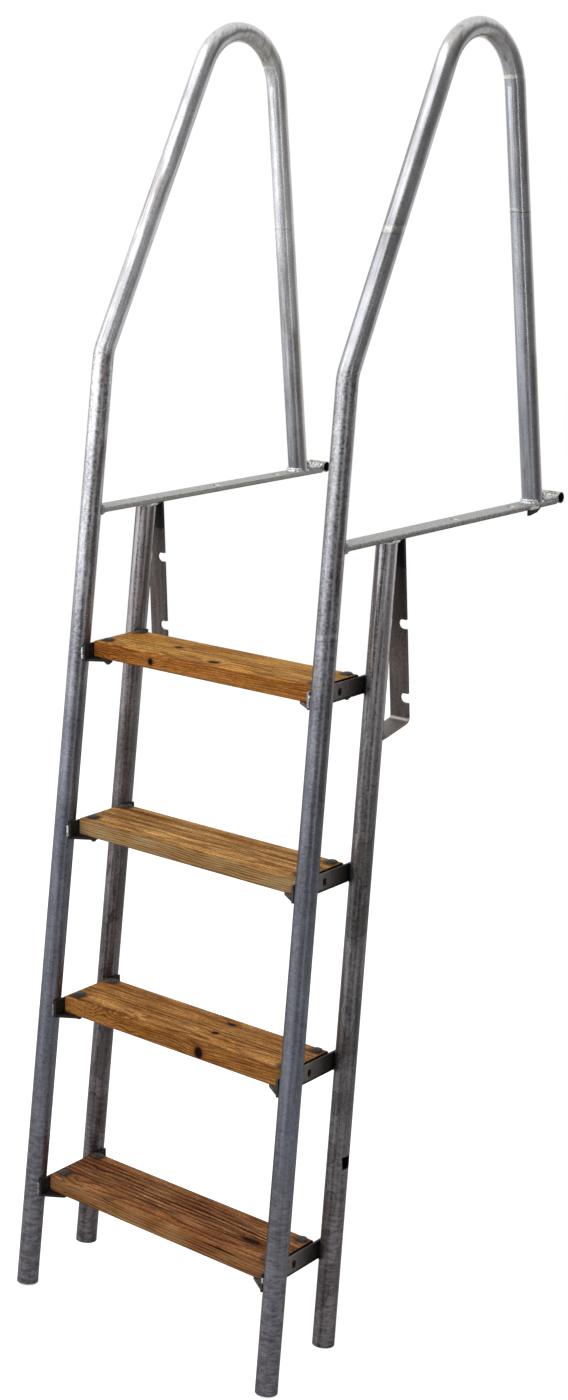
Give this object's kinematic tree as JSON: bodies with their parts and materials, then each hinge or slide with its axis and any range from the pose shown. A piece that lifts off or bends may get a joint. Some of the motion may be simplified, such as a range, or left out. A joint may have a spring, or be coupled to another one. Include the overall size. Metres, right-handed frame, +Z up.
{
  "type": "dock ladder",
  "caption": "Dock ladder with bent tube side rails that rise to handrail loops, timber steps on angle brackets, deck bars and notched hangers below.",
  "frame": {"origin": "on the deck surface, in the middle of the right bar's flat underside, midway between its two deck screws", "axes": "+X to the right as a bather facing the dock sees it, across the ladder; +Y back over the deck; +Z up"},
  "size_m": [0.568, 0.7997, 2.147],
  "materials": {
    "galvanized_tube": "hot dip galvanized, lightly spangled",
    "galvanized_rear_tube": "hot dip galvanized, dull and bluish",
    "galvanized_bar": "hot dip galvanized, pale",
    "galvanized_eye": "hot dip galvanized, pale",
    "galvanized_strip": "hot dip galvanized",
    "galvanized_angle": "hot dip galvanized, dark grey",
    "timber_1": "oiled pine, honey coloured, knotty",
    "timber_2": "oiled pine, honey coloured, grooved",
    "timber_3": "oiled pine, honey coloured, knotty",
    "timber_4": "oiled pine, redder and darker, grooved"
  },
  "bodies": {
    "root": {"left_side_rail": "galvanized_tube", "left_rear_rail": "galvanized_rear_tube", "left_deck_bar": "galvanized_bar", "left_eye_tube": "galvanized_eye", "left_hanger": "galvanized_strip", "left_bracket_1": "galvanized_angle", "left_bracket_2": "galvanized_angle", "left_bracket_3": "galvanized_angle", "left_bracket_4": "galvanized_angle", "right_side_rail": "galvanized_tube", "right_rear_rail": "galvanized_rear_tube", "right_deck_bar": "galvanized_bar", "right_eye_tube": "galvanized_eye", "right_hanger": "galvanized_strip", "right_bracket_1": "galvanized_angle", "right_bracket_2": "galvanized_angle", "right_bracket_3": "galvanized_angle", "right_bracket_4": "galvanized_angle", "right_deck_tab": "galvanized_strip", "step_1": "timber_1", "step_2": "timber_2", "step_3": "timber_3", "step_4": "timber_4"}
  },
  "joints": []
}
